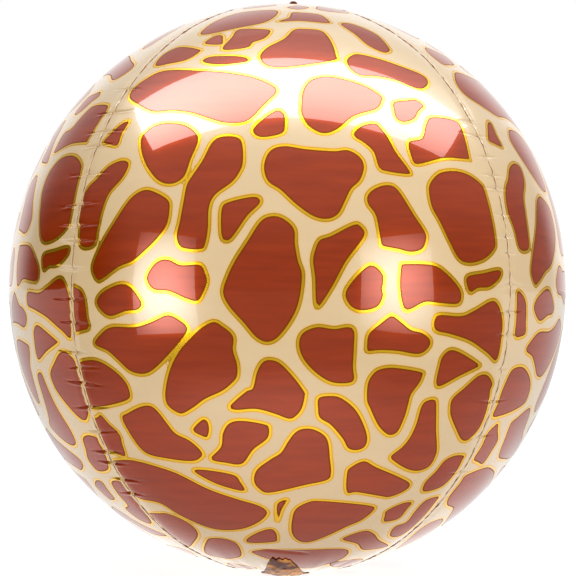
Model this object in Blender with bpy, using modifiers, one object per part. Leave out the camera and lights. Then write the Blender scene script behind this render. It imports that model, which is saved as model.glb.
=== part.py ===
"""Round foil balloon of four printed gores, with its filling neck and crown tip.

Metres, +Z up. The origin is on the ground under the middle of the balloon, and the front gore faces -Y.
The balloon is sealed, so each gore is a solid: the film together with its quarter of the filling.
"""

import math

import bmesh
import bpy
from mathutils import Matrix, Vector

# Driving sizes of the filled balloon
EQUATOR_RADIUS = 0.196  # middle axis to the film, at the widest height
HALF_HEIGHT = 0.200  # centre to either pole
FLAT_RADIUS = 0.026  # spot that the balloon rests on
GORE_COUNT = 4

# Seams: the side gores end on the seam planes, as flanges over the front and back gores
FLANGE_WIDTH = 0.003  # how far the front and back gores reach under them
FLANGE_THICKNESS = 0.0005

# Filling neck, folded flat under the balloon towards the back
NECK_WIDTH = 0.028
NECK_THICKNESS = 0.0007
NECK_START = -0.046  # its gathered end, in front of the flat spot
NECK_LENGTH = 0.122
NECK_FLARE = 0.006  # how much wider each side is at the free end
NECK_CORNER = 0.004

# Crown tip, where the four flanges end at the top
TIP_WIDTH = 0.006
TIP_HEIGHT = 0.003
TIP_THICKNESS = 0.0008
TIP_CORNER = 0.0012

# Gap between pieces that touch
CLEARANCE = 0.0003

# Fineness of the turned and rounded shapes
STEPS_AROUND = 60
STEPS_POLE_TO_POLE = 40
STEPS_A_CORNER = 6

CENTRE_HEIGHT = HALF_HEIGHT * math.sqrt(1 - (FLAT_RADIUS / EQUATOR_RADIUS) ** 2)
CROWN_HEIGHT = CENTRE_HEIGHT + HALF_HEIGHT
CUTTER_REACH = 2 * (EQUATOR_RADIUS + HALF_HEIGHT)
MERGE_DISTANCE = 0.00001

# Gores, named by the way they face, and which of them carry the flanges
GORES = (("front", False), ("right", True), ("back", False), ("left", True))
FIRST_FACING = math.radians(-90)


def clear_scene():
    for obj in list(bpy.data.objects):
        bpy.data.objects.remove(obj, do_unlink=True)


def new_collection(name, hidden=False):
    collection = bpy.data.collections.new(name)
    collection.hide_render = hidden
    bpy.context.scene.collection.children.link(collection)
    return collection


def new_object(name, data, collection, material=None):
    obj = bpy.data.objects.new(name, data)
    collection.objects.link(obj)
    if material:
        data.materials.append(material)
    return obj


def film_material(name, colour, roughness, metallic):
    material = bpy.data.materials.new(name)
    material.use_nodes = True
    shader = material.node_tree.nodes["Principled BSDF"]
    shader.inputs["Base Color"].default_value = (*colour, 1)
    shader.inputs["Roughness"].default_value = roughness
    shader.inputs["Metallic"].default_value = metallic
    return material


def turned_body(name, grown, floor, collection, material=None):
    """The whole balloon as one turned solid, its film moved out by grown, and cut flat at the height floor."""
    radius = EQUATOR_RADIUS + grown
    half_height = HALF_HEIGHT + grown
    lowest = math.acos((floor - CENTRE_HEIGHT) / half_height)
    profile = []
    for step in range(STEPS_POLE_TO_POLE + 1):
        angle = lowest * step / STEPS_POLE_TO_POLE
        profile.append((radius * math.sin(angle), 0, CENTRE_HEIGHT + half_height * math.cos(angle)))
    profile.append((0, 0, floor))
    mesh = bpy.data.meshes.new(name)
    mesh.from_pydata(profile, [(n, n + 1) for n in range(len(profile) - 1)], [])
    body = new_object(name, mesh, collection, material)
    screw = body.modifiers.new("Turn", "SCREW")
    screw.steps = STEPS_AROUND
    screw.render_steps = STEPS_AROUND
    screw.use_merge_vertices = True
    screw.merge_threshold = MERGE_DISTANCE
    return body


def wedge_cutter(name, facing, widened, collection):
    """A wedge between two seam planes, its walls moved outwards by widened.

    Its edge is cut off flat just short of the middle axis, clear of the wedge opposite.
    """
    half_angle = math.pi / GORE_COUNT
    apex = -widened / math.sin(half_angle)
    near = CLEARANCE / 2
    near_half = (near - apex) * math.tan(half_angle)
    far_half = (CUTTER_REACH - apex) * math.tan(half_angle)
    outline = ((near, -near_half), (CUTTER_REACH, -far_half), (CUTTER_REACH, far_half), (near, near_half))
    cutter_mesh = bpy.data.meshes.new(name)
    build = bmesh.new()
    floor = build.faces.new([build.verts.new((*point, -CUTTER_REACH)) for point in outline])
    raised = bmesh.ops.extrude_face_region(build, geom=[floor])["geom"]
    lifted = [part for part in raised if isinstance(part, bmesh.types.BMVert)]
    bmesh.ops.translate(build, verts=lifted, vec=(0, 0, 2 * CUTTER_REACH))
    bmesh.ops.recalc_face_normals(build, faces=build.faces)
    build.to_mesh(cutter_mesh)
    build.free()
    cutter = new_object(name, cutter_mesh, collection)
    cutter.rotation_euler.z = facing
    hide(cutter)
    return cutter


def hide(guide):
    guide.hide_render = True
    guide.display_type = "WIRE"


def add_boolean(obj, operation, other):
    boolean = obj.modifiers.new(other.name, "BOOLEAN")
    boolean.operation = operation
    boolean.object = other


def rounded_outline(corners, radii):
    """The closed outline through corners, each rounded by an arc of its own radius."""
    outline = []
    for n, corner in enumerate(corners):
        here = Vector(corner)
        before = (Vector(corners[n - 1]) - here).normalized()
        after = (Vector(corners[(n + 1) % len(corners)]) - here).normalized()
        if not radii[n]:
            outline.append(here)
            continue
        half = before.angle(after) / 2
        centre = here + (before + after).normalized() * radii[n] / math.sin(half)
        start = here + before * radii[n] / math.tan(half)
        turn = math.pi - 2 * half
        for step in range(STEPS_A_CORNER + 1):
            swing = Matrix.Rotation(turn * step / STEPS_A_CORNER, 2)
            outline.append(centre + swing @ (start - centre))
    return outline


def plate(name, outline, thickness, collection, material=None):
    """A flat plate on z = 0 with the given outline."""
    curve = bpy.data.curves.new(name + "_outline", "CURVE")
    curve.dimensions = "2D"
    curve.fill_mode = "BOTH"
    curve.extrude = thickness / 2
    spline = curve.splines.new("POLY")
    spline.points.add(len(outline) - 1)
    for point, place in zip(spline.points, outline):
        point.co = (*place, 0, 1)
    spline.use_cyclic_u = True
    guide = new_object(name + "_guide", curve, collection)
    guide.location.z = thickness / 2
    bpy.context.view_layer.update()
    graph = bpy.context.evaluated_depsgraph_get()
    mesh = bpy.data.meshes.new_from_object(guide.evaluated_get(graph))
    mesh.transform(guide.matrix_world)
    mesh.name = name
    bpy.data.objects.remove(guide, do_unlink=True)
    build = bmesh.new()
    build.from_mesh(mesh)
    bmesh.ops.remove_doubles(build, verts=build.verts, dist=MERGE_DISTANCE)
    bmesh.ops.recalc_face_normals(build, faces=build.faces)
    build.to_mesh(mesh)
    build.free()
    return new_object(name, mesh, collection, material)


def neck_outline(grown):
    """The neck seen from above, its free end flared, with grown added all round."""
    near = NECK_START - grown
    far = NECK_START + NECK_LENGTH + grown
    half_near = NECK_WIDTH / 2 + grown
    half_far = half_near + NECK_FLARE
    corners = ((half_near, near), (half_far, far), (-half_far, far), (-half_near, near))
    return rounded_outline(corners, [NECK_CORNER + grown] * len(corners))


def build_neck(parts, material):
    return plate("filling_neck", neck_outline(0), NECK_THICKNESS, parts, material)


def build_neck_seat(cutters):
    """The room that the folded neck takes up under the gores."""
    seat = plate("neck_seat", neck_outline(CLEARANCE), NECK_THICKNESS + 2 * CLEARANCE, cutters)
    seat.location.z = -CLEARANCE
    hide(seat)
    return seat


def build_tip(parts, material):
    half = TIP_WIDTH / 2
    corners = ((-half, 0), (half, 0), (half, TIP_HEIGHT), (-half, TIP_HEIGHT))
    outline = rounded_outline(corners, (0, 0, TIP_CORNER, TIP_CORNER))
    tip = plate("crown_tip", outline, TIP_THICKNESS, parts, material)
    tip.rotation_euler.x = math.radians(90)
    tip.location = (0, TIP_THICKNESS / 2, CROWN_HEIGHT + FLANGE_THICKNESS + 2 * CLEARANCE)
    return tip


def build_gores(parts, cutters, material):
    """The side gores end at the seams. Front and back gores reach past them, under the side gores' flanges."""
    lap = FLANGE_THICKNESS + CLEARANCE
    seat = build_neck_seat(cutters)
    covered = []
    for n, (side, flanged) in enumerate(GORES):
        if flanged:
            continue
        facing = FIRST_FACING + n * 2 * math.pi / GORE_COUNT
        room = turned_body(side + "_room", CLEARANCE, -CLEARANCE, cutters)
        add_boolean(room, "INTERSECT", wedge_cutter(side + "_room_wedge", facing, FLANGE_WIDTH + CLEARANCE, cutters))
        hide(room)
        covered.append(room)
    for n, (side, flanged) in enumerate(GORES):
        facing = FIRST_FACING + n * 2 * math.pi / GORE_COUNT
        gore = turned_body("gore_" + side, lap if flanged else 0, 0, parts, material)
        widened = 0 if flanged else FLANGE_WIDTH
        add_boolean(gore, "INTERSECT", wedge_cutter(side + "_wedge", facing, widened, cutters))
        if flanged:
            for room in covered:
                add_boolean(gore, "DIFFERENCE", room)
        add_boolean(gore, "DIFFERENCE", seat)


def main():
    clear_scene()
    parts = new_collection("foil_balloon")
    cutters = new_collection("cutters", hidden=True)
    printed = film_material("printed_film", (0.62, 0.36, 0.19), 0.18, 0.45)
    plain = film_material("plain_film", (0.80, 0.70, 0.50), 0.22, 0.60)
    build_gores(parts, cutters, printed)
    build_neck(parts, plain)
    build_tip(parts, plain)


main()
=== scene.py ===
import math

import bpy
import numpy as np
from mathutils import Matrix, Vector


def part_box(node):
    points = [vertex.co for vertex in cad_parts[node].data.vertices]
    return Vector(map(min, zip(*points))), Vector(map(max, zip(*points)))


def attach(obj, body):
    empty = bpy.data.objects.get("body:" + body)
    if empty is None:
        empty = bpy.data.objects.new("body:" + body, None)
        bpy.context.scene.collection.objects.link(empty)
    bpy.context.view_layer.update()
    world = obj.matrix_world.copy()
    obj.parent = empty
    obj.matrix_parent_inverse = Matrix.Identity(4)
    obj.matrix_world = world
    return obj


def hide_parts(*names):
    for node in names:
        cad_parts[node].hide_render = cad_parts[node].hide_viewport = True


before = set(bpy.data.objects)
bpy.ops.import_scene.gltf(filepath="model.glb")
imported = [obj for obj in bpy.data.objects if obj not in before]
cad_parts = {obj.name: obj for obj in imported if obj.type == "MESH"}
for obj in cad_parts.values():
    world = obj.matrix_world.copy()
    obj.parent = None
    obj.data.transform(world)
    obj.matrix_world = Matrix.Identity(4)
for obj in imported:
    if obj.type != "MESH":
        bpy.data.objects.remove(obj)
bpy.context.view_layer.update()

# Sizes of the balloon, from the solids
HALF_HEIGHT = 0.200
EQUATOR_RADIUS = -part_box("gore_front")[0][1]
CROWN_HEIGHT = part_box("gore_front")[1][2]
CENTRE_HEIGHT = CROWN_HEIGHT - HALF_HEIGHT
SEMI_AXES = np.array((EQUATOR_RADIUS, EQUATOR_RADIUS, HALF_HEIGHT))
MM = 0.001

# The photo's view: picture size and the balloon's middle in pixels, focal length in pixels
PICTURE = 576
MIDDLE_X = 287.5
MIDDLE_Y = 288.8
FOCAL_PIXELS = 1735
CAMERA_DISTANCE = 1.235
CAMERA_AZIMUTH = math.radians(-1)
SENSOR_WIDTH = 36
CAMERA_PLACE = np.array((math.sin(CAMERA_AZIMUTH), -math.cos(CAMERA_AZIMUTH), 0)) * CAMERA_DISTANCE
CAMERA_RIGHT = np.array((math.cos(CAMERA_AZIMUTH), math.sin(CAMERA_AZIMUTH), 0))
CAMERA_AHEAD = np.array((-math.sin(CAMERA_AZIMUTH), math.cos(CAMERA_AZIMUTH), 0))
UP = np.array((0, 0, 1))

# Gores: name, heading of its middle, whether it ends in flanges on top, and how its print lies:
# turned round the balloon, moved up, and stretched up and down
GORES = (
    ("front", 0, False, 0, 0, 1),
    ("right", 90, True, 1.8, -0.9, 1.06),
    ("back", 180, False, 0.7, 2.2, 1),
    ("left", 270, True, 1.3, 4.1, 1),
)
HALF_GORE = math.radians(45)
FLANGE_WIDTH = 3 * MM
FLANGE_LIFT = 0.30 * MM
FLANGE_FLUTTER = 0.22 * MM
HEM_HEIGHT = 0.8 * MM
EDGE_WAVE = 0.45 * MM
POLE_END = math.radians(89.75)

# Mesh of a gore: wide columns in the middle, narrow ones with more rows beside the seams
MIDDLE_COLUMNS = 120
STRIP_COLUMNS = 14
STRIP_WIDTH = 20 * MM
ROWS = 370
ROWS_BESIDE_SEAM = 4

# Creases across the seams, at these heights in the photo
LEFT_CREASES_Y = (
    89, 112, 131, 145, 174, 204, 226, 241, 268, 299, 322, 353, 367, 383, 407, 432, 452, 463, 479, 493,
)
RIGHT_CREASES_Y = (121, 136, 157, 175, 188, 215, 237, 253, 284, 312, 334, 369, 402, 437, 472)
CREASE_DEPTH = 1.3 * MM
PUFF_HEIGHT = 0.45 * MM
BEAD_HEIGHT = 0.18 * MM
# Cream strip beside a seam, where the patches that it cuts end: a painted reflection of the seam's folded
# edge
SEAM_REFLECTION_WIDTH = 1.2

# Gathered neck on the low front of the film: its upper end along Y and X, and how far its folds stand out
NECK_TOP = -0.088
NECK_TOP_X = -6 * MM
NECK_RELIEF = 2.2 * MM
# Thickness that the neck and the crown tip are drawn with
SHEET_THICKNESS = 0.25 * MM
# Crown tip: its place beside the middle, and how much taller than its solid it is drawn
TIP_X = 4.2 * MM
TIP_RISE = 1.3 * MM
# Fold that the gathered neck pulls across the film above it, from end to end in the photo
FOLD_ENDS = ((258, 549), (312, 554))
FOLD_DEPTH = 0.8 * MM

# Colours of the film. The brown and the cream each vary between two. The bare film's copper varies in
# blotches between a dark
# and a bright one: partly painted shade and painted glints of its crumples, partly a plain stand-in for the
# neck's print.
# The others are those of the lines round a patch
BROWN = ((0.248, 0.021, 0.0), (0.432, 0.046, 0.002))
CREAM = ((0.69, 0.495, 0.26), (0.775, 0.56, 0.31))
COPPER_SHADE_AND_GLINT = ((0.11, 0.018, 0.003), (0.74, 0.30, 0.045))
DARK = (0.22, 0.041, 0.0)
GOLD = (1.0, 0.57, 0.008)
OLIVE = (0.72, 0.37, 0.003)
PALE = (0.80, 0.48, 0.17)

# Direction of the black gap between the lamps, anticlockwise from +X, the cosine from it at which the gap
# ends for what the film mirrors, and how softly it ends
GAP_AZIMUTH = math.radians(168)
GAP_EDGE = 0.89
GAP_BLUR = 0.08
# Distance from the balloon's middle axis to the softboxes at its sides
SIDE_CARD_DISTANCE = 0.65

# Light of the room that the film mirrors
ROOM_LEFT = (0.35, 0.345, 0.34)
ROOM_RIGHT = (0.28, 0.275, 0.27)
ROOM_GAP = (0.02, 0.02, 0.02)
ROOM_ABOVE = (0.72, 0.72, 0.72)
ROOM_OVERHEAD = (1.35, 1.35, 1.35)
ROOM_BEHIND = (1.05, 1.02, 1.0)
# Light of the room that falls on the film
LIGHT_AROUND = (1.0, 1.0, 1.0)
LIGHT_ABOVE = (1.75, 1.75, 1.75)
LIGHT_GAP = (0.0, 0.0, 0.0)
LIGHT_RIGHT = (0.6, 0.6, 0.6)

# How bright the floor is: where the film mirrors it, where it lights the film and where the camera sees it
FLOOR_MIRRORED = 0.34
FLOOR_MIRRORED_SPOT = 0.88
FLOOR_MIRRORED_UNDER = 1.2
FLOOR_MIRRORED_BEHIND = 0.72
FLOOR_LIGHTING = 0.66
FLOOR_SEEN = 0.90
# Middle of the spot of the floor that the film mirrors brightest in front
SPOT = (-0.03, -0.31, 0)

# Widths in mm of the lines round a patch: the dark one inside its outline, the others outside
DARK_LINE = 0.85
GOLD_LINE = 1.35
OLIVE_LINE = 0.6
PALE_LINE = 0.7
FAR_FROM_PRINT = 8.0
# How far the lines of two near patches run into each other
INK_SPREAD = 0.6

# Outlines of the brown patches of one gore, as they lie in the photo
PATCHES = (
    ((201, 33), (215, 22), (240, 13), (277, 11), (267, 22), (236, 29), (207, 35)),
    ((205, 44), (214, 37), (222, 36), (223, 41), (221, 45)),
    ((223, 50), (232, 38), (240, 30), (267, 30), (270, 33), (264, 39), (253, 43), (247, 48)),
    ((203, 62), (212, 57), (242, 57), (247, 62), (220, 65)),
    ((278, 22), (289, 18), (292, 13), (303, 13), (320, 15), (329, 21), (327, 23), (299, 21)),
    ((260, 57), (267, 48), (284, 39), (294, 30), (306, 29), (322, 31), (331, 41), (336, 55), (333, 60),
     (289, 67), (267, 66)),
    ((341, 24), (353, 24), (376, 34), (389, 48), (388, 52), (382, 52), (368, 45), (355, 34)),
    ((347, 60), (352, 55), (360, 54), (380, 59), (400, 66), (422, 75), (428, 82), (424, 88), (415, 88),
     (395, 80), (375, 76), (360, 75), (350, 68)),
    ((130, 98), (133, 90), (145, 80), (165, 71), (200, 71), (230, 73), (259, 79), (277, 90), (264, 105),
     (247, 121), (226, 123), (210, 119), (191, 113), (172, 111), (153, 112), (137, 104)),
    ((253, 130), (264, 118), (277, 110), (284, 114), (285, 123), (282, 133), (261, 137)),
    ((301, 107), (303, 90), (312, 79), (331, 76), (362, 84), (381, 95), (382, 101), (376, 109),
     (354, 116), (337, 129), (323, 133), (309, 126), (302, 115)),
    ((394, 111), (394, 102), (407, 100), (417, 100), (424, 106), (419, 111), (414, 119), (404, 122),
     (397, 119)),
    ((409, 142), (422, 138), (426, 124), (432, 117), (454, 120), (462, 129), (469, 157), (467, 159),
     (444, 158), (418, 164), (412, 158)),
    ((354, 135), (361, 126), (375, 123), (382, 129), (388, 137), (396, 152), (409, 170), (408, 174),
     (386, 171), (379, 167), (374, 152), (365, 143)),
    ((264, 166), (270, 151), (284, 146), (306, 149), (334, 151), (348, 150), (360, 157), (364, 167),
     (360, 180), (351, 189), (345, 201), (338, 214), (327, 219), (313, 216), (296, 204), (281, 190),
     (268, 181)),
    ((212, 143), (221, 137), (236, 137), (242, 143), (243, 161), (240, 171), (232, 182), (215, 195),
     (209, 208), (208, 229), (205, 245), (201, 249), (188, 249), (180, 246), (177, 236), (180, 222),
     (184, 200), (187, 185), (193, 175), (203, 160)),
    ((222, 208), (229, 202), (250, 197), (259, 198), (259, 204), (247, 216), (236, 232), (229, 240),
     (223, 239), (221, 228)),
    ((261, 221), (273, 216), (284, 219), (294, 229), (295, 244), (298, 261), (302, 275), (299, 301),
     (291, 320), (278, 337), (267, 342), (256, 337), (244, 323), (229, 306), (223, 292), (228, 275),
     (236, 259), (247, 242)),
    ((315, 250), (320, 240), (331, 236), (353, 225), (360, 226), (364, 236), (346, 261), (333, 285),
     (320, 305), (316, 303), (315, 278), (313, 261)),
    ((368, 195), (376, 188), (388, 185), (398, 190), (414, 215), (425, 232), (426, 240), (422, 249),
     (411, 252), (398, 249), (383, 246), (381, 242), (376, 216), (368, 204)),
    ((429, 191), (431, 182), (440, 173), (455, 171), (469, 175), (481, 184), (485, 192), (491, 215),
     (495, 239), (494, 249), (484, 259), (470, 263), (459, 259), (450, 243), (440, 222), (432, 207)),
    ((346, 291), (355, 278), (368, 266), (376, 267), (383, 275), (383, 284), (382, 289), (383, 296),
     (378, 306), (367, 310), (355, 309), (347, 301)),
    ((400, 289), (401, 267), (405, 264), (432, 265), (446, 273), (459, 288), (461, 299), (456, 304),
     (440, 303), (425, 302), (411, 309), (404, 308)),
    ((467, 277), (484, 273), (498, 270), (501, 273), (498, 280), (489, 287), (478, 288), (471, 292),
     (468, 289)),
    ((435, 319), (440, 315), (461, 316), (475, 310), (491, 301), (498, 305), (502, 320), (501, 339),
     (496, 360), (487, 353), (470, 341), (450, 334), (437, 331), (434, 326)),
    ((367, 346), (369, 334), (380, 324), (389, 317), (393, 316), (401, 322), (411, 330), (422, 333),
     (430, 340), (428, 348), (418, 354), (398, 351), (380, 350), (368, 351)),
    ((439, 367), (442, 357), (450, 350), (461, 353), (478, 364), (477, 367), (459, 376), (440, 386),
     (436, 382)),
    ((299, 344), (303, 333), (317, 327), (334, 329), (348, 327), (354, 331), (354, 346), (353, 367),
     (354, 379), (348, 383), (331, 382), (315, 372), (303, 358)),
    ((213, 322), (222, 326), (233, 336), (233, 350), (237, 364), (237, 376), (232, 383), (222, 391),
     (205, 399), (194, 407), (184, 413), (178, 413), (168, 406), (165, 396), (167, 380), (172, 364),
     (180, 350), (187, 342), (200, 329)),
    ((253, 388), (257, 372), (263, 362), (271, 360), (281, 364), (295, 379), (303, 390), (305, 394),
     (302, 408), (296, 416), (289, 419), (275, 414), (256, 409), (236, 410), (230, 407), (236, 400),
     (247, 391)),
    ((193, 430), (202, 420), (207, 421), (209, 429), (207, 437), (202, 436)),
    ((211, 459), (221, 447), (223, 433), (230, 423), (244, 421), (266, 425), (269, 429), (267, 439),
     (253, 450), (242, 464), (226, 463)),
    ((295, 433), (303, 429), (315, 430), (327, 439), (330, 459), (331, 473), (327, 480), (306, 485),
     (270, 493), (259, 489), (254, 481), (257, 470), (270, 460), (281, 453), (288, 442)),
    ((194, 471), (205, 470), (233, 475), (240, 482), (244, 491), (225, 487), (208, 480)),
    ((277, 519), (277, 506), (280, 502), (287, 500), (282, 509), (278, 520)),
    ((292, 520), (296, 509), (309, 502), (320, 501), (348, 503), (371, 506), (374, 510), (362, 520),
     (346, 527), (327, 536), (310, 542), (299, 541), (292, 533)),
    ((347, 473), (351, 467), (364, 461), (376, 467), (399, 477), (410, 484), (405, 491), (390, 497),
     (380, 496), (357, 492), (347, 492)),
    ((319, 398), (331, 396), (341, 398), (354, 408), (362, 421), (367, 436), (365, 446), (357, 450),
     (348, 448), (343, 439), (331, 425), (320, 418), (318, 408)),
    ((367, 400), (368, 383), (375, 372), (385, 368), (398, 368), (421, 372), (422, 376), (419, 383),
     (411, 394), (408, 404), (405, 415), (399, 429), (394, 434), (387, 434), (378, 425), (370, 408)),
    ((391, 456), (402, 447), (410, 437), (416, 424), (421, 407), (426, 401), (435, 400), (436, 411),
     (436, 430), (437, 446), (436, 455), (430, 466), (419, 471), (407, 469), (394, 461)),
    ((452, 399), (464, 388), (478, 376), (487, 375), (492, 383), (490, 390), (489, 399), (486, 412),
     (480, 427), (472, 437), (466, 441), (461, 439), (456, 429), (451, 417), (450, 410)),
    ((423, 489), (426, 482), (436, 472), (445, 461), (455, 456), (464, 456), (462, 461), (457, 471),
     (450, 480), (442, 487), (432, 491), (424, 492)),
    ((385, 516), (387, 511), (402, 504), (412, 503), (407, 510), (399, 519), (387, 522), (384, 521)),
    ((390, 534), (395, 527), (407, 522), (416, 511), (426, 501), (439, 497), (434, 505), (424, 517),
     (411, 529), (400, 536), (392, 537)),
    ((343, 540), (348, 536), (365, 531), (374, 534), (379, 540), (388, 546), (364, 550), (357, 544)),
    ((247, 539), (259, 532), (271, 529), (276, 533), (277, 539), (274, 542), (250, 543)),
    ((205, 553), (207, 540), (214, 538), (226, 539), (236, 543), (241, 551), (240, 557), (226, 559)),
    ((254, 554), (261, 550), (287, 550), (306, 550), (343, 549), (348, 554), (334, 562), (301, 568)),
    ((122, 418), (128, 413), (140, 407), (150, 406), (158, 412), (168, 425), (176, 434), (190, 441),
     (202, 453), (197, 460), (186, 461), (170, 459), (150, 455), (140, 448), (130, 434)),
    ((95, 344), (101, 334), (112, 327), (135, 327), (151, 322), (167, 315), (178, 319), (187, 327),
     (184, 336), (170, 353), (154, 369), (143, 374), (130, 371), (119, 361), (108, 351)),
    ((97, 303), (101, 294), (112, 287), (123, 284), (132, 288), (140, 299), (142, 305), (137, 310),
     (126, 311), (112, 316), (104, 313)),
    ((147, 278), (153, 266), (161, 260), (170, 260), (181, 265), (200, 265), (205, 273), (207, 282),
     (202, 295), (197, 301), (187, 299), (176, 294), (168, 291), (153, 289)),
    ((93, 270), (95, 259), (104, 240), (115, 222), (126, 205), (135, 195), (146, 190), (157, 193),
     (168, 200), (170, 208), (167, 225), (157, 239), (146, 250), (133, 261), (119, 267), (104, 278),
     (98, 280)),
    ((83, 197), (90, 186), (97, 179), (108, 167), (120, 161), (128, 162), (128, 168), (122, 179),
     (109, 194), (102, 212), (98, 229), (95, 243), (90, 247), (83, 247), (80, 242), (80, 229), (79, 212)),
    ((104, 142), (112, 133), (122, 124), (129, 122), (122, 134), (119, 143), (116, 146), (108, 144)),
    ((141, 140), (145, 133), (156, 125), (170, 123), (185, 125), (196, 133), (198, 142), (191, 159),
     (184, 177), (172, 184), (159, 181), (148, 168), (142, 153)),
    ((156, 66), (162, 56), (177, 48), (190, 48), (199, 50), (201, 51), (195, 56), (185, 61), (170, 64)),
    ((287, 8), (298, 6), (309, 8), (298, 10)),
)
# Five more, which the left seam cuts on the front gore, drawn past it here
CUT_PATCHES = (
    ((108, 462), (127, 460), (140, 462), (158, 467), (178, 474), (208, 489), (236, 499), (259, 506),
     (267, 513), (259, 522), (242, 529), (222, 530), (204, 526), (180, 515), (160, 503), (138, 498),
     (118, 486), (106, 474)),
    ((146, 514), (159, 513), (170, 514), (189, 523), (198, 533), (194, 542), (186, 547), (166, 537),
     (150, 526)),
    ((74, 366), (88, 360), (101, 362), (116, 372), (126, 383), (130, 395), (127, 400), (115, 404),
     (99, 407), (82, 408), (76, 396), (73, 380)),
    ((90, 422), (98, 417), (101, 415), (108, 423), (119, 434), (122, 444), (125, 456), (115, 453),
     (102, 449), (94, 438)),
    ((65, 286), (79, 289), (84, 296), (86, 306), (87, 317), (89, 327), (84, 330), (70, 331), (66, 310)),
)
# The same five as they lie on the other gores
WHOLE_PATCHES = (
    ((116, 465), (127, 462), (140, 462), (158, 467), (178, 474), (208, 489), (236, 499), (259, 506),
     (267, 513), (259, 522), (242, 529), (222, 530), (204, 526), (180, 515), (160, 503), (140, 496),
     (127, 486), (119, 472)),
    ((154, 515), (159, 513), (170, 514), (189, 523), (198, 533), (194, 542), (189, 543), (172, 533),
     (158, 522)),
    ((83, 364), (90, 360), (101, 362), (116, 372), (126, 383), (130, 395), (127, 400), (115, 404),
     (99, 407), (88, 406), (85, 393), (82, 380)),
    ((96, 423), (98, 417), (101, 415), (108, 423), (119, 434), (122, 444), (125, 456), (115, 453),
     (105, 448), (101, 436)),
    ((73, 288), (79, 289), (84, 296), (86, 306), (87, 317), (89, 327), (84, 330), (76, 329), (74, 313)),
)
# Patches near the poles, out of the photo's sight: middle and half size, in degrees round and up
POLE_PATCHES = (
    (-24, 75, 13, 2.4), (28, 72, 11, 3.2), (2, 80, 20, 2.2), (-30, -71, 9, 2.6), (31, -68, 9, 3.0),
)


def on_film(turn, rise):
    """The point of the plain balloon at an angle round it and an angle up it, from its middle."""
    return np.stack(
        (
            EQUATOR_RADIUS * np.cos(rise) * np.sin(turn),
            -EQUATOR_RADIUS * np.cos(rise) * np.cos(turn),
            HALF_HEIGHT * np.sin(rise),
        ),
        axis=-1,
    )


def outward(points):
    normals = points / SEMI_AXES**2
    return normals / np.linalg.norm(normals, axis=-1, keepdims=True)


def from_picture(pixels):
    """Angles round and up the balloon of what shows at these pixels of the photo."""
    pixels = np.asarray(pixels, float)
    across = (pixels[:, :1] - MIDDLE_X) / FOCAL_PIXELS
    down = (pixels[:, 1:] - MIDDLE_Y) / FOCAL_PIXELS
    rays = CAMERA_AHEAD + across * CAMERA_RIGHT - down * UP
    start = CAMERA_PLACE / SEMI_AXES
    along = rays / SEMI_AXES
    square = (along * along).sum(axis=1)
    half = (along * start).sum(axis=1)
    rest = (start * start).sum() - 1
    reach = (-half - np.sqrt(np.maximum(half**2 - square * rest, 0))) / square
    points = CAMERA_PLACE + reach[:, None] * rays
    turn = np.arctan2(points[:, 0], -points[:, 1])
    rise = np.arcsin(np.clip(points[:, 2] / HALF_HEIGHT, -1, 1))
    return np.stack((turn, rise), axis=1)


def picture_height(turn, rise):
    """The photo's pixel row at which points of the film show."""
    points = on_film(turn, rise) - CAMERA_PLACE
    return MIDDLE_Y - FOCAL_PIXELS * points[..., 2] / (points @ CAMERA_AHEAD)


def smooth_loop(points, pieces=6):
    """A closed curve through points, smooth at each of them."""
    points = np.asarray(points, float)
    before = np.roll(points, 1, axis=0)
    after = np.roll(points, -1, axis=0)
    beyond = np.roll(points, -2, axis=0)
    curve = []
    for piece in range(pieces):
        t = piece / pieces
        curve.append(
            0.5
            * (
                2 * points
                + (after - before) * t
                + (2 * before - 5 * points + 4 * after - beyond) * t**2
                + (3 * points - before - 3 * after + beyond) * t**3
            )
        )
    return np.stack(curve, axis=1).reshape(-1, 2)


def print_outlines(patches):
    """Every patch of a gore as a closed curve of angles round and up the balloon."""
    outlines = [from_picture(smooth_loop(patch)) for patch in patches]
    around = np.linspace(0, 2 * math.pi, 40, endpoint=False)
    for turn, rise, half_turn, half_rise in POLE_PATCHES:
        wobble = 1 + 0.12 * np.sin(3 * around + turn)
        oval = (turn + half_turn * wobble * np.cos(around), rise + half_rise * wobble * np.sin(around))
        outlines.append(np.radians(np.stack(oval, axis=1)))
    return outlines


def inside(turn, rise, outline):
    """Which points lie inside a closed outline, by the crossings of a line to one side."""
    found = np.zeros(turn.shape, bool)
    for (turn_a, rise_a), (turn_b, rise_b) in zip(outline, np.roll(outline, -1, axis=0)):
        crosses = (rise_a > rise) != (rise_b > rise)
        slope = (turn_b - turn_a) / (rise_b - rise_a) if rise_b != rise_a else 0
        found ^= crosses & (turn < turn_a + slope * (rise - rise_a))
    return found


def distance_to_print(turn, rise, outlines):
    """Distance in mm over the film to the nearest patch's brown, negative inside it."""
    distance = np.full(turn.shape, FAR_FROM_PRINT)
    points = on_film(turn, rise) / MM
    margin = FAR_FROM_PRINT * MM / EQUATOR_RADIUS
    for outline in outlines:
        low = outline.min(axis=0)
        high = outline.max(axis=0)
        side_margin = margin / max(0.1, math.cos(max(abs(low[1]), abs(high[1]))))
        near = (turn > low[0] - side_margin) & (turn < high[0] + side_margin)
        near &= (rise > low[1] - margin) & (rise < high[1] + margin)
        chosen = np.flatnonzero(near)
        if not len(chosen):
            continue
        here = points[chosen]
        starts = on_film(outline[:, 0], outline[:, 1]) / MM
        steps = np.roll(starts, -1, axis=0) - starts
        least = np.full(len(chosen), np.inf)
        for start, step in zip(starts, steps):
            offset = here - start
            share = np.clip(offset @ step / max(step @ step, 1e-9), 0, 1)
            gap = offset - share[:, None] * step
            least = np.minimum(least, (gap * gap).sum(axis=1))
        least = np.sqrt(least)
        least[inside(turn[chosen], rise[chosen], outline)] *= -1
        distance[chosen] = -INK_SPREAD * np.logaddexp(-distance[chosen] / INK_SPREAD, -least / INK_SPREAD)
    return distance


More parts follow.
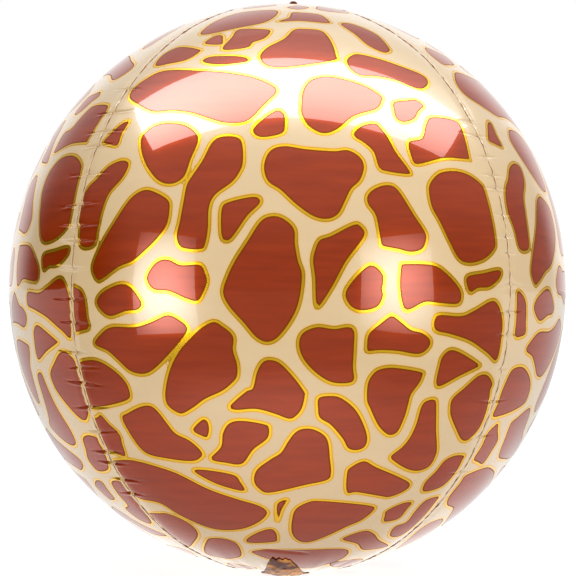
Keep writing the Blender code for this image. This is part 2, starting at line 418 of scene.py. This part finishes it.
def placed_print(outlines, turned, raised, stretched):
    shift = np.radians((turned, raised))
    return [outline * (1, stretched) + shift for outline in outlines]


def waves(along, lengths, seed):
    """A smooth random line of about unit height: a sum of sines of these wavelengths."""
    random = np.random.default_rng(seed)
    total = np.zeros_like(along)
    for length in lengths:
        phase = random.uniform(0, 2 * math.pi)
        height = random.uniform(0.6, 1)
        total += height * np.sin(2 * math.pi * along / length + phase)
    return total / math.sqrt(len(lengths))


def film_waves(turn, rise):
    """The slight unevenness of the whole filled film."""
    random = np.random.default_rng(11)
    points = on_film(turn, rise)
    total = np.zeros(turn.shape)
    for size, height in ((0.16, 0.22), (0.09, 0.10), (0.05, 0.035)):
        for _ in range(5):
            way = random.normal(size=3)
            way /= np.linalg.norm(way)
            total += height * np.sin(2 * math.pi * (points @ way) / size + random.uniform(0, 2 * math.pi))
    return total * MM * 0.5


class Seam:
    """A seam, with the creases that cross it."""

    def __init__(self, heading, rises, seed, strength):
        self.heading = math.radians(heading)
        self.rises = np.sort(np.asarray(rises))
        random = np.random.default_rng(seed)
        count = len(self.rises)
        self.reach = random.uniform(8, 17, (2, count)) * strength * MM
        self.depth = random.uniform(0.5, 1.15, count) * strength * CREASE_DEPTH
        self.tilt = random.uniform(-0.10, 0.10, (2, count))
        self.seed = seed

    def displacement(self, turn, rise):
        """How far the film stands out near the seam."""
        aside = np.mod(turn - self.heading + math.pi, 2 * math.pi) - math.pi
        sideways = aside * np.cos(rise) * EQUATOR_RADIUS
        near = np.abs(sideways) < 3 * STRIP_WIDTH
        total = np.zeros(turn.shape)
        across = sideways[near]
        up = rise[near]
        away = np.abs(across)
        narrowing = np.clip(np.cos(up) * 1.6, 0.15, 1)
        valley = -0.45 * MM * np.exp(-((away / (4.0 * MM * narrowing)) ** 2))
        along = up * EQUATOR_RADIUS + np.sign(across) * 0.05
        swell = 0.5 + 0.5 * waves(along, (0.037, 0.021, 0.0083), self.seed)
        bead = BEAD_HEIGHT * swell * np.exp(-(((away - 1.5 * MM) / (0.8 * MM)) ** 2))
        valley += bead * narrowing
        order = np.clip(np.searchsorted(self.rises, up), 1, len(self.rises) - 1)
        low = self.rises[order - 1]
        high = self.rises[order]
        share = np.clip((up - low) / (high - low), 0, 1)
        rounded = np.sqrt(np.sin(math.pi * share) + 1e-9)
        puff = PUFF_HEIGHT * rounded * np.exp(-((away / (7.5 * MM * narrowing)) ** 2))
        shape = valley + puff * narrowing
        side = (across > 0).astype(int)
        for n, crease in enumerate(self.rises):
            offset = (up - crease) * EQUATOR_RADIUS - self.tilt[side, n] * away
            close = np.abs(offset) < 6 * MM
            reach = self.reach[side, n] * narrowing
            fade = np.exp(-((away / reach) ** 2))
            width = (0.55 + 0.45 * np.exp(-((away / (3 * MM)) ** 2))) * MM
            lip = 0.45 * np.exp(-(((offset + 1.4 * MM) / (0.8 * MM)) ** 2))
            groove = lip - np.exp(-((offset / width) ** 2))
            shape += np.where(close, self.depth[n] * fade * groove, 0)
        total[near] = shape
        return total


def seam_rises(turn, pixel_rows):
    """Angles up a seam at which it crosses these pixel rows of the photo."""
    rises = np.linspace(-math.radians(80), math.radians(80), 800)
    rows = picture_height(np.full(rises.shape, turn), rises)
    return np.interp(-np.asarray(pixel_rows, float), -rows, rises)


def random_rises(seed):
    random = np.random.default_rng(seed)
    rises = [-1.0]
    while rises[-1] < 1.0:
        rises.append(rises[-1] + random.uniform(0.06, 0.17))
    return rises


def all_seams():
    return (
        Seam(-45, seam_rises(-HALF_GORE, LEFT_CREASES_Y), 3, 1),
        Seam(45, seam_rises(HALF_GORE, RIGHT_CREASES_Y), 4, 0.55),
        Seam(135, random_rises(5), 6, 0.75),
        Seam(225, random_rises(7), 8, 0.75),
    )


def pole_wrinkles(turn, rise):
    """Fine pleats that run into the poles, deeper at the bottom where the neck is gathered."""
    random = np.random.default_rng(21)
    from_top = (math.pi / 2 - rise) * EQUATOR_RADIUS
    from_bottom = (math.pi / 2 + rise) * EQUATOR_RADIUS
    total = np.zeros(turn.shape)
    poles = ((from_top, 22 * MM, 0.5 * MM, 26), (from_bottom, 62 * MM, 1.1 * MM, 34))
    for distance, reach, height, count in poles:
        pleats = np.zeros(turn.shape)
        for _ in range(4):
            number = count + int(random.integers(-9, 10))
            bend = 0.35 * np.sin(distance / (9 * MM) + random.uniform(0, 6))
            pleats += np.abs(np.sin(0.5 * number * turn + bend + random.uniform(0, 6))) - 0.6
        fade = np.exp(-((distance / reach) ** 2))
        total += height * pleats / 2 * fade * np.clip(distance / (6 * MM), 0, 1)
    return total


def fold_over_neck(turn, rise):
    """The fold of the low front film above the gathered neck."""
    (turn_a, rise_a), (turn_b, rise_b) = from_picture(FOLD_ENDS)
    share = (turn - turn_a) / (turn_b - turn_a)
    offset = (rise - rise_a - share * (rise_b - rise_a)) * HALF_HEIGHT
    ends = np.clip(4 * np.minimum(share, 1 - share), 0, 1)
    return -FOLD_DEPTH * ends * np.exp(-((offset / (1.6 * MM)) ** 2))


def column_turns(flanged):
    """Angles of the columns across a gore: ever narrower towards each seam, and evenly wide between."""
    shares = np.linspace(0, 1, STRIP_COLUMNS + 1)
    if flanged:
        from_seam = STRIP_WIDTH * shares**1.6
    else:
        start = -0.8 * MM  # first column after the edge under the flange
        shares = np.linspace(0, 1, STRIP_COLUMNS)
        from_seam = np.concatenate(([-FLANGE_WIDTH], start + (STRIP_WIDTH - start) * shares**1.6))
    narrow = from_seam / EQUATOR_RADIUS - HALF_GORE
    middle = np.linspace(narrow[-1], -narrow[-1], MIDDLE_COLUMNS + 1)
    return np.concatenate((narrow[:-1], middle, -narrow[-2::-1]))


def gore_faces(columns, fine_rows, indices):
    """Quads, with more corners where a coarse column meets a fine one.

    indices is -1 where there is no point.
    """
    faces = []
    for c in range(columns - 1):
        fine_left = indices[1, c] >= 0
        fine_right = indices[1, c + 1] >= 0
        step = 1 if fine_left and fine_right else ROWS_BESIDE_SEAM
        for r in range(0, fine_rows - 1, step):
            left = indices[r : r + step + 1, c]
            right = indices[r : r + step + 1, c + 1]
            face = np.concatenate((right, left[::-1]))
            faces.append([int(index) for index in face if index >= 0])
    return faces


def build_gore(name, heading, flanged, outlines, seams):
    """One gore of printed film."""
    turns = column_turns(flanged)
    columns = len(turns)
    fine_rows = ROWS_BESIDE_SEAM * ROWS + 1
    rises = np.linspace(-POLE_END, POLE_END, fine_rows)
    turn, rise = np.meshgrid(turns, rises)
    past_strip = np.abs(turn) - HALF_GORE + STRIP_WIDTH / EQUATOR_RADIUS
    edge_share = np.clip(past_strip * EQUATOR_RADIUS / STRIP_WIDTH, 0, 1)
    lift = np.zeros(turn.shape)
    if flanged:
        for side in (-1, 1):
            seed = 31 + heading + (side > 0)
            along = rise * EQUATOR_RADIUS
            wave = EDGE_WAVE * waves(along, (0.041, 0.019, 0.0093), seed)
            flutter = FLANGE_LIFT + FLANGE_FLUTTER * waves(along, (0.023, 0.0117, 0.0061), seed + 50)
            on_side = np.sign(turn) == side
            turn = np.where(on_side, turn + side * wave / EQUATOR_RADIUS * edge_share**3, turn)
            to_edge = (HALF_GORE - np.abs(turn)) * EQUATOR_RADIUS * np.cos(rise)
            raised = np.clip(1.6 - to_edge / (2.2 * MM), 0, 1)
            lift += np.where(on_side, flutter * raised**2 * (3 - 2 * raised), 0)
    world_turn = turn + math.radians(heading)
    keep = np.ones(turn.shape, bool)
    middle = slice(STRIP_COLUMNS + 1, columns - STRIP_COLUMNS - 1)
    keep[:, middle] = False
    keep[::ROWS_BESIDE_SEAM, middle] = True
    distance = np.full(turn.shape, FAR_FROM_PRINT)
    distance[keep] = distance_to_print(turn[keep], rise[keep], outlines)
    # Patches end at the cream strip beside a seam, a painted reflection of the seam's folded edge, with the
    # lines round them drawn narrower
    into_seam_reflection = SEAM_REFLECTION_WIDTH - (HALF_GORE - np.abs(turn)) * EQUATOR_RADIUS * np.cos(rise) / MM
    distance = np.clip(np.maximum(distance, 5 * into_seam_reflection + 3), -FAR_FROM_PRINT, FAR_FROM_PRINT)
    height = film_waves(world_turn, rise) + pole_wrinkles(world_turn, rise)
    height = height + fold_over_neck(world_turn, rise) + lift
    for seam in seams:
        height += seam.displacement(world_turn, rise)
    points = on_film(world_turn, rise)
    points = points + outward(points) * height[..., None]
    points[..., 2] += CENTRE_HEIGHT
    lowest = 0.35 * MM
    highest = CROWN_HEIGHT + 0.7 * MM
    rounding = 1.2 * MM
    points[..., 2] = lowest + rounding * np.logaddexp(0, (points[..., 2] - lowest) / rounding)
    points[..., 2] = np.minimum(points[..., 2], highest)
    indices = np.full(turn.shape, -1)
    indices[keep] = np.arange(keep.sum())
    corners = [tuple(point) for point in points[keep]]
    values = list(distance[keep])
    flat = list(zip(turn[keep] * np.cos(rise[keep]), rise[keep]))
    faces = gore_faces(columns, fine_rows, indices)
    if flanged:
        for column, side in ((0, -1), (columns - 1, 1)):
            first = len(corners)
            edge = points[:, column]
            hem = edge - outward(edge - (0, 0, CENTRE_HEIGHT)) * HEM_HEIGHT
            hem[:, 2] = np.maximum(hem[:, 2], 0.2 * MM)
            for line, reach in ((edge, 0.002), (hem, 0.004)):
                corners += [tuple(point) for point in line]
                values += [-0.5 * DARK_LINE] * fine_rows  # painted shade: the cut edge and its hem are coloured as dark as the dark line, for the shadow under the flange's step
                flat += list(zip(turn[:, column] * np.cos(rise[:, column]) + side * reach, rise[:, column]))
            for r in range(first, first + fine_rows - 1):
                face = [r, r + 1, r + 1 + fine_rows, r + fine_rows]
                faces.append(face if side < 0 else face[::-1])
    mesh = bpy.data.meshes.new(name)
    mesh.from_pydata(corners, [], faces)
    attribute = mesh.attributes.new("patch_distance", "FLOAT", "POINT")
    attribute.data.foreach_set("value", np.asarray(values, np.float32))
    layer = mesh.uv_layers.new(name="OFBake")
    flat = np.asarray(flat)
    flat = (flat - flat.min(axis=0)) / (flat.max(axis=0) - flat.min(axis=0)).max()
    loops = np.empty(len(mesh.loops), int)
    mesh.loops.foreach_get("vertex_index", loops)
    layer.data.foreach_set("uv", flat[loops].astype(np.float32).ravel())
    mesh.shade_smooth()
    piece = bpy.data.objects.new(name, mesh)
    bpy.context.scene.collection.objects.link(piece)
    return piece


def new_material(name, coat, roughness):
    material = bpy.data.materials.new(name)
    material.use_nodes = True
    nodes = material.node_tree.nodes
    shader = nodes["Principled BSDF"]
    shader.inputs["Coat Weight"].default_value = coat
    shader.inputs["Coat Roughness"].default_value = 0.02
    shader.inputs["Roughness"].default_value = roughness
    return material, nodes, material.node_tree.links, shader


def step_up(nodes, links, value, edge, blur):
    """0 below edge and 1 above it, with a soft change."""
    node = nodes.new("ShaderNodeMapRange")
    node.interpolation_type = "SMOOTHSTEP"
    node.inputs["From Min"].default_value = edge - blur
    node.inputs["From Max"].default_value = edge + blur
    links.new(value, node.inputs["Value"])
    return node.outputs["Result"]


def mixed(nodes, links, share, first, second, kind="RGBA"):
    """first where share is 0 and second where it is 1. Each is a socket or a value."""
    node = nodes.new("ShaderNodeMix")
    node.data_type = kind
    links.new(share, node.inputs["Factor"])
    first_socket = 6 if kind == "RGBA" else 2  # the node has sockets for every kind, single values first
    for socket, content in ((node.inputs[first_socket], first), (node.inputs[first_socket + 1], second)):
        if isinstance(content, bpy.types.NodeSocket):
            links.new(content, socket)
        elif kind == "RGBA":
            socket.default_value = (*content, 1)
        else:
            socket.default_value = content
    return node.outputs[2 if kind == "RGBA" else 0]


def streaks(nodes, links, scale, stretch, detail):
    """Noise from 0 to 1 on the object's own coordinates."""
    coordinates = nodes.new("ShaderNodeTexCoord")
    mapping = nodes.new("ShaderNodeMapping")
    mapping.inputs["Scale"].default_value = stretch
    noise = nodes.new("ShaderNodeTexNoise")
    noise.inputs["Scale"].default_value = scale
    noise.inputs["Detail"].default_value = detail
    links.new(coordinates.outputs["Object"], mapping.inputs["Vector"])
    links.new(mapping.outputs["Vector"], noise.inputs["Vector"])
    return noise.outputs["Fac"]


def printed_film():
    """Glossy cream film with brown patches, which have dark, gold, olive and pale lines round them."""
    material, nodes, links, shader = new_material("printed_film", 1.0, 0.16)
    attribute = nodes.new("ShaderNodeAttribute")
    attribute.attribute_name = "patch_distance"
    distance = attribute.outputs["Fac"]
    leaves_brown = step_up(nodes, links, distance, -DARK_LINE, 0.3)
    leaves_dark = step_up(nodes, links, distance, 0, 0.22)
    leaves_gold = step_up(nodes, links, distance, GOLD_LINE, 0.25)
    leaves_olive = step_up(nodes, links, distance, GOLD_LINE + OLIVE_LINE, 0.25)
    leaves_pale = step_up(nodes, links, distance, GOLD_LINE + OLIVE_LINE + PALE_LINE, 0.3)
    grain = streaks(nodes, links, 24, (1, 1, 9), 3)
    brown = mixed(nodes, links, grain, *BROWN)
    cream_grain = streaks(nodes, links, 14, (1, 1, 5), 3)
    cream = mixed(nodes, links, cream_grain, *CREAM)
    colour = mixed(nodes, links, leaves_brown, brown, DARK)
    colour = mixed(nodes, links, leaves_dark, colour, GOLD)
    colour = mixed(nodes, links, leaves_gold, colour, OLIVE)
    colour = mixed(nodes, links, leaves_olive, colour, PALE)
    colour = mixed(nodes, links, leaves_pale, colour, cream)
    links.new(colour, shader.inputs["Base Color"])
    metal = mixed(nodes, links, leaves_dark, 0.3, 0.85, "FLOAT")
    metal = mixed(nodes, links, leaves_olive, metal, 0.0, "FLOAT")
    links.new(metal, shader.inputs["Metallic"])
    coat = mixed(nodes, links, leaves_brown, 1.0, 0.15, "FLOAT")
    coat = mixed(nodes, links, leaves_dark, coat, 0.7, "FLOAT")
    coat = mixed(nodes, links, leaves_olive, coat, 1.0, "FLOAT")
    links.new(coat, shader.inputs["Coat Weight"])
    shine = mixed(nodes, links, leaves_olive, 0.0, 0.6, "FLOAT")
    links.new(shine, shader.inputs["Specular IOR Level"])
    sheen = streaks(nodes, links, 22, (1, 1, 4), 3)
    rough = mixed(nodes, links, sheen, 0.12, 0.22, "FLOAT")
    rough = mixed(nodes, links, leaves_olive, rough, 0.22, "FLOAT")
    links.new(rough, shader.inputs["Roughness"])
    return material


def plain_film():
    """The bare metallised film of the neck and the crown tip."""
    material, nodes, links, shader = new_material("plain_film", 0.05, 0.3)
    # painted shade and glints: blotches of dark and bright copper over the crumpled film, partly a plain
    # stand-in for the neck's print
    glint_cloud = streaks(nodes, links, 75, (1, 1, 1), 4)
    colour = mixed(nodes, links, step_up(nodes, links, glint_cloud, 0.51, 0.12), *COPPER_SHADE_AND_GLINT)
    links.new(colour, shader.inputs["Base Color"])
    shader.inputs["Metallic"].default_value = 0.5
    shader.inputs["Specular IOR Level"].default_value = 0.08
    rough = mixed(nodes, links, glint_cloud, 0.30, 0.45, "FLOAT")
    links.new(rough, shader.inputs["Roughness"])
    return material


def sheet_piece(name, place, thickness, columns, rows):
    """A thin closed strip of film.

    place gives its points for shares across it, from -1 to 1, and along it, from 0 to 1. thickness is the
    way from its other face to them.
    """
    across, along = np.meshgrid(np.linspace(-1, 1, columns), np.linspace(0, 1, rows))
    top = place(across, along)
    bottom = top - np.asarray(thickness)
    count = columns * rows
    faces = []
    for r in range(rows - 1):
        for c in range(columns - 1):
            a = r * columns + c
            b = a + columns
            faces.append((a, a + 1, b + 1, b))
            faces.append((a + count, b + count, b + 1 + count, a + 1 + count))
    rim = list(range(columns))
    rim += [r * columns + columns - 1 for r in range(1, rows)]
    rim += [(rows - 1) * columns + c for c in range(columns - 2, -1, -1)]
    rim += [r * columns for r in range(rows - 2, 0, -1)]
    for a, b in zip(rim, rim[1:] + rim[:1]):
        faces.append((b, a, a + count, b + count))
    corners = [tuple(point) for point in np.concatenate((top.reshape(-1, 3), bottom.reshape(-1, 3)))]
    mesh = bpy.data.meshes.new(name)
    mesh.from_pydata(corners, [], faces)
    mesh.shade_smooth()
    piece = bpy.data.objects.new(name, mesh)
    bpy.context.scene.collection.objects.link(piece)
    return piece


def folds(x, y, seed):
    """Sharp random folds of crumpled film, from 0 to 1, most of them running along Y."""
    random = np.random.default_rng(seed)
    total = np.zeros(x.shape)
    for _ in range(7):
        bearing = random.uniform(-0.6, 0.6)
        size = random.uniform(4, 11) * MM
        way = x * math.cos(bearing) + y * math.sin(bearing)
        total += np.abs(np.sin(math.pi * way / size + random.uniform(0, 6)))
    return total / 7


def build_neck():
    """The filling neck, gathered over the low front of the film and folded flat under it to the back."""
    low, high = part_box("filling_neck")
    stations = (NECK_TOP, -0.074, -0.05, -0.03, 0.0, high[1])
    half_widths = (0.006, 0.010, 0.013, 0.017, 0.014, (high[0] - low[0]) / 2)

    def place(across, along):
        y = NECK_TOP + (high[1] - NECK_TOP) * along
        end = np.clip((high[1] - y) / (5 * MM), 0, 1)
        half = np.interp(y, stations, half_widths) * (0.86 + 0.14 * np.sqrt(end))
        x = across * half + NECK_TOP_X * np.clip(y / NECK_TOP, 0, 1)
        y = y + 1.5 * MM * np.sin(9 * across) * (along < 0.1)
        share = np.clip((x * x + y * y) / EQUATOR_RADIUS**2, 0, 1)
        film = CENTRE_HEIGHT - HALF_HEIGHT * np.sqrt(1 - share)
        room = np.clip(film - 0.3 * MM, 0, NECK_RELIEF) * np.clip(along / 0.12, 0, 1)
        room *= 1 - 0.85 * np.abs(across) ** 3
        crumpled = film - 0.2 * MM - room * folds(x, y, 41)
        flat = 0.45 * MM + 0.25 * MM * folds(x, y, 42)
        return np.stack((x, y, np.maximum(crumpled, flat)), axis=-1)

    return sheet_piece("neck_tail", place, (0, 0, SHEET_THICKNESS), 60, 200)


def build_tip():
    """The small sealed tab at the crown."""
    low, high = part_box("crown_tip")
    half = (high[0] - low[0]) / 2

    def place(across, along):
        rounded = np.sqrt(np.clip(1 - ((along - 0.4) / 0.6) ** 2, 0, 1))
        width = half * np.where(along > 0.4, 0.2 + 0.8 * rounded, 1)
        x = across * width
        z = low[2] - 0.7 * MM + (high[2] - low[2] + TIP_RISE) * along
        y = 0.5 * MM * folds(x, z, 43)
        return np.stack((x + TIP_X, y, z), axis=-1)

    return sheet_piece("crown_tab", place, (0, -SHEET_THICKNESS, 0), 24, 24)


def towards_gap(nodes, links, direction, edge, blur):
    """1 in the direction of the black gap between the lamps, at any height.

    edge is the cosine of the angle from its middle at which it ends, and blur how softly.
    """
    flat = nodes.new("ShaderNodeVectorMath")
    flat.operation = "MULTIPLY"
    flat.inputs[1].default_value = (1, 1, 0)
    unit = nodes.new("ShaderNodeVectorMath")
    unit.operation = "NORMALIZE"
    along = nodes.new("ShaderNodeVectorMath")
    along.operation = "DOT_PRODUCT"
    along.inputs[1].default_value = (math.cos(GAP_AZIMUTH), math.sin(GAP_AZIMUTH), 0)
    links.new(direction, flat.inputs[0])
    links.new(flat.outputs["Vector"], unit.inputs[0])
    links.new(unit.outputs["Vector"], along.inputs[0])
    return step_up(nodes, links, along.outputs["Value"], edge, blur)


def build_stage():
    """A plain pale floor. The film mirrors it brightest under its middle, and dimmer behind and in front."""
    mesh = bpy.data.meshes.new("floor")
    half = 40
    corners = [(-half, -half, 0), (half, -half, 0), (half, half, 0), (-half, half, 0)]
    mesh.from_pydata(corners, [], [(0, 1, 2, 3)])
    floor = bpy.data.objects.new("floor", mesh)
    bpy.context.scene.collection.objects.link(floor)
    material = bpy.data.materials.new("floor")
    material.use_nodes = True
    nodes = material.node_tree.nodes
    links = material.node_tree.links
    shader = nodes["Principled BSDF"]
    shader.inputs["Roughness"].default_value = 0.9
    shader.inputs["Specular IOR Level"].default_value = 0
    shader.inputs["Emission Color"].default_value = (1, 1, 1, 1)
    place = nodes.new("ShaderNodeNewGeometry").outputs["Position"]
    split = nodes.new("ShaderNodeSeparateXYZ")
    links.new(place, split.inputs[0])
    length = nodes.new("ShaderNodeVectorMath")
    length.operation = "LENGTH"
    links.new(place, length.inputs[0])
    from_spot = nodes.new("ShaderNodeVectorMath")
    from_spot.operation = "DISTANCE"
    from_spot.inputs[1].default_value = SPOT
    links.new(place, from_spot.inputs[0])
    leaves_spot = step_up(nodes, links, from_spot.outputs["Value"], 0.16, 0.13)
    near = mixed(nodes, links, leaves_spot, FLOOR_MIRRORED_SPOT, FLOOR_MIRRORED, "FLOAT")
    far = step_up(nodes, links, length.outputs["Value"], 0.40, 0.12)
    gap = towards_gap(nodes, links, place, GAP_EDGE, GAP_BLUR)
    dim = mixed(nodes, links, gap, FLOOR_MIRRORED, 0.0, "FLOAT")
    mirrored = mixed(nodes, links, far, near, dim, "FLOAT")
    behind = step_up(nodes, links, split.outputs["Y"], -0.06, 0.035)
    leaves_contact = step_up(nodes, links, length.outputs["Value"], 0.14, 0.07)
    bright = mixed(nodes, links, leaves_contact, FLOOR_MIRRORED_UNDER, FLOOR_MIRRORED_BEHIND, "FLOAT")
    mirrored = mixed(nodes, links, behind, mirrored, bright, "FLOAT")
    mirrored_base = mixed(nodes, links, far, (0.3, 0.3, 0.3), (0.08, 0.08, 0.08))
    path = nodes.new("ShaderNodeLightPath")
    seen = mixed(nodes, links, path.outputs["Is Camera Ray"], FLOOR_LIGHTING, FLOOR_SEEN, "FLOAT")
    glossy = path.outputs["Is Glossy Ray"]
    links.new(mixed(nodes, links, glossy, seen, mirrored, "FLOAT"), shader.inputs["Emission Strength"])
    links.new(mixed(nodes, links, glossy, (0.27, 0.27, 0.27), mirrored_base), shader.inputs["Base Color"])
    mesh.materials.append(material)


def reflected_card(name, corners, strength, hot_spot, spread, edge_share):
    """A softbox that only reflections see.

    corners is two rows of points, along its lower and its upper edge. It is brightest at hot_spot, a share
    of its width and height, and falls off to edge_share over spread.
    """
    lower, upper = corners
    count = len(lower)
    mesh = bpy.data.meshes.new(name)
    faces = [(n, n + 1, count + n + 1, count + n) for n in range(count - 1)]
    mesh.from_pydata([tuple(point) for point in (*lower, *upper)], [], faces)
    shares = [(n / (count - 1), row) for row in (0, 1) for n in range(count)]
    layer = mesh.uv_layers.new(name="share")
    for loop in mesh.loops:
        layer.data[loop.index].uv = shares[loop.vertex_index]
    card = bpy.data.objects.new(name, mesh)
    bpy.context.scene.collection.objects.link(card)
    material = bpy.data.materials.new(name)
    material.use_nodes = True
    nodes = material.node_tree.nodes
    links = material.node_tree.links
    nodes.clear()
    place = nodes.new("ShaderNodeUVMap")
    from_spot = nodes.new("ShaderNodeVectorMath")
    from_spot.operation = "SUBTRACT"
    from_spot.inputs[1].default_value = (*hot_spot, 0)
    scaled = nodes.new("ShaderNodeVectorMath")
    scaled.operation = "DIVIDE"
    scaled.inputs[1].default_value = (*spread, 1)
    length = nodes.new("ShaderNodeVectorMath")
    length.operation = "LENGTH"
    links.new(place.outputs["UV"], from_spot.inputs[0])
    links.new(from_spot.outputs["Vector"], scaled.inputs[0])
    links.new(scaled.outputs["Vector"], length.inputs[0])
    emission = nodes.new("ShaderNodeEmission")
    away = step_up(nodes, links, length.outputs["Value"], 0.5, 0.5)
    glow = mixed(nodes, links, away, strength, strength * edge_share, "FLOAT")
    links.new(glow, emission.inputs["Strength"])
    output = nodes.new("ShaderNodeOutputMaterial")
    links.new(emission.outputs[0], output.inputs["Surface"])
    mesh.materials.append(material)
    card.visible_camera = False
    card.visible_diffuse = False
    card.visible_shadow = False


def side_card(name, azimuth, left, right, bottom, top, strength, hot_spot):
    """An upright softbox at an azimuth from the front.

    left and right are how far its sides are from the azimuth's line, bottom and top how far its other edges
    are from the balloon's middle.
    """
    azimuth = math.radians(azimuth)
    ahead = Vector((math.sin(azimuth), -math.cos(azimuth), 0))
    side = Vector((math.cos(azimuth), math.sin(azimuth), 0))
    middle = SIDE_CARD_DISTANCE * ahead + Vector((0, 0, CENTRE_HEIGHT))
    lower = [middle + side * reach + Vector((0, 0, bottom)) for reach in (left, right)]
    upper = [middle + side * reach + Vector((0, 0, top)) for reach in (left, right)]
    reflected_card(name, (lower, upper), strength, hot_spot, (0.9, 0.75), 0.12)


def build_lights():
    height = CENTRE_HEIGHT + 0.9
    near = [(x, -0.49 + 0.18 * x * x, height) for x in np.linspace(-0.92, 1.1, 25)]
    far = [(x, 0.36 * x * x, height) for x in np.linspace(-0.78, 0.98, 25)]
    beyond = [(x, y + 0.3, z) for x, y, z in far]
    reflected_card("overhead_softbox", (near, far), 11.5, (0.30, 0.5), (1.25, 1.2), 0.2)
    reflected_card("overhead_spill", (far, beyond), 1.7, (0.5, 0), (9, 1), 0.55)
    side_card("left_softbox", -52, -0.022, 0.25, -0.167, 0.192, 7.6, (0.50, 0.42))
    side_card("right_softbox", 47, -0.28, 0.018, -0.150, 0.194, 5.7, (0.50, 0.5))


def build_world():
    """White to the camera. The film mirrors a dim room, bright above and behind, with a gap at the left."""
    world = bpy.data.worlds.new("studio")
    bpy.context.scene.world = world
    world.use_nodes = True
    nodes = world.node_tree.nodes
    links = world.node_tree.links
    nodes.clear()
    coordinates = nodes.new("ShaderNodeTexCoord")
    split = nodes.new("ShaderNodeSeparateXYZ")
    links.new(coordinates.outputs["Generated"], split.inputs[0])
    gap = towards_gap(nodes, links, coordinates.outputs["Generated"], GAP_EDGE, GAP_BLUR)
    right = step_up(nodes, links, split.outputs["X"], 0.8, 0.2)
    room = mixed(nodes, links, right, ROOM_LEFT, ROOM_RIGHT)
    room = mixed(nodes, links, gap, room, ROOM_GAP)
    above = step_up(nodes, links, split.outputs["Z"], 0.45, 0.3)
    room = mixed(nodes, links, above, room, ROOM_ABOVE)
    overhead = step_up(nodes, links, split.outputs["Z"], 0.84, 0.12)
    room = mixed(nodes, links, overhead, room, ROOM_OVERHEAD)
    behind = step_up(nodes, links, split.outputs["Y"], 0.74, 0.13)
    room = mixed(nodes, links, behind, room, ROOM_BEHIND)
    path = nodes.new("ShaderNodeLightPath")
    sky = step_up(nodes, links, split.outputs["Z"], 0.55, 0.35)
    soft = mixed(nodes, links, sky, LIGHT_AROUND, LIGHT_ABOVE)
    dusk = towards_gap(nodes, links, coordinates.outputs["Generated"], 0.80, 0.18)
    soft = mixed(nodes, links, dusk, soft, LIGHT_GAP)
    soft = mixed(nodes, links, right, soft, LIGHT_RIGHT)
    colour = mixed(nodes, links, path.outputs["Is Glossy Ray"], soft, room)
    colour = mixed(nodes, links, path.outputs["Is Camera Ray"], colour, (1, 1, 1))
    background = nodes.new("ShaderNodeBackground")
    links.new(colour, background.inputs["Color"])
    output = nodes.new("ShaderNodeOutputWorld")
    links.new(background.outputs[0], output.inputs["Surface"])


def build_camera():
    data = bpy.data.cameras.new("camera")
    data.sensor_width = SENSOR_WIDTH
    data.lens = FOCAL_PIXELS / PICTURE * SENSOR_WIDTH
    data.shift_x = (PICTURE / 2 - MIDDLE_X) / PICTURE
    data.shift_y = (MIDDLE_Y - PICTURE / 2) / PICTURE
    camera = bpy.data.objects.new("camera", data)
    camera.location = (CAMERA_PLACE[0], CAMERA_PLACE[1], CENTRE_HEIGHT)
    camera.rotation_euler = (math.pi / 2, 0, CAMERA_AZIMUTH)
    bpy.context.scene.collection.objects.link(camera)
    bpy.context.scene.camera = camera


def main():
    build_camera()
    build_stage()
    build_world()
    build_lights()
    printed = printed_film()
    plain = plain_film()
    cut = print_outlines(PATCHES + CUT_PATCHES)
    whole = print_outlines(PATCHES + WHOLE_PATCHES)
    seams = all_seams()
    for side, heading, flanged, turned, raised, stretched in GORES:
        outlines = placed_print(whole if heading else cut, turned, raised, stretched)
        gore = build_gore("film_" + side, heading, flanged, outlines, seams)
        gore.data.materials.append(printed)
        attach(gore, "root")
        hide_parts("gore_" + side)
    for piece, node in ((build_neck(), "filling_neck"), (build_tip(), "crown_tip")):
        piece.data.materials.append(plain)
        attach(piece, "root")
        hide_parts(node)
    bpy.context.scene.view_settings.view_transform = "Standard"
    bpy.context.view_layer.update()


main()
